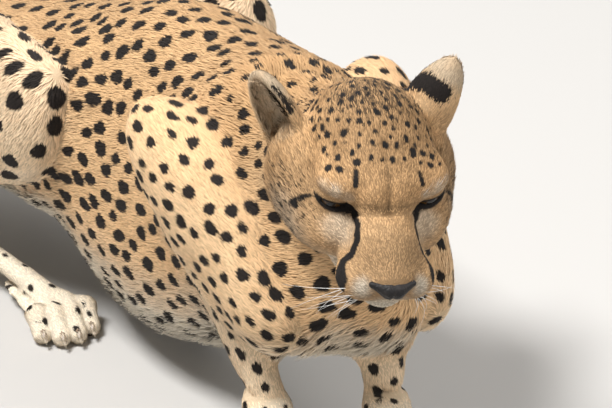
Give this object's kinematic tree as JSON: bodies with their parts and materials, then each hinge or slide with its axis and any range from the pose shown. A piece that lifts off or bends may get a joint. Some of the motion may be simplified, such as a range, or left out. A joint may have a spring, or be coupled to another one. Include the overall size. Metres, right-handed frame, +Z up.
{
  "type": "cheetah, still life-size animal model",
  "caption": "Life-size still model of a crouching cheetah, forequarters and head turned to its right, with a solid black-spotted golden coat and black tear lines.",
  "frame": {"origin": "on the floor below the middle of the bounding box", "axes": "X towards the animal's left side, Y towards its tail, Z up"},
  "size_m": [0.594, 1.1236, 0.4278],
  "materials": {
    "coat": "short dense fur, sandy gold with solid black-brown spots, cream-white below",
    "eye": "clear wet cornea over an amber-brown iris with a round pupil",
    "nose_leather": "bare black hide, finely pebbled, slightly moist",
    "claw": "horn, pale at the tip and darker at the root"
  },
  "bodies": {
    "root": {"trunk": "coat", "neck": "coat", "head": "coat", "ear_right": "coat", "ear_left": "coat", "upper_arm_right": "coat", "upper_arm_left": "coat", "forearm_right": "coat", "forearm_left": "coat", "forepaw_right": "coat", "forepaw_left": "coat", "thigh_right": "coat", "thigh_left": "coat", "shank_right": "coat", "shank_left": "coat", "hindpaw_right": "coat", "hindpaw_left": "coat", "tail_base": "coat", "tail_middle": "coat", "tail_tip": "coat", "eye_right": "eye", "eye_left": "eye", "nose": "nose_leather", "claw_fore_right_1": "claw", "claw_fore_right_2": "claw", "claw_fore_right_3": "claw", "claw_fore_right_4": "claw", "claw_fore_left_1": "claw", "claw_fore_left_2": "claw", "claw_fore_left_3": "claw", "claw_fore_left_4": "claw", "claw_hind_right_1": "claw", "claw_hind_right_2": "claw", "claw_hind_right_3": "claw", "claw_hind_right_4": "claw", "claw_hind_left_1": "claw", "claw_hind_left_2": "claw", "claw_hind_left_3": "claw", "claw_hind_left_4": "claw"}
  },
  "joints": []
}
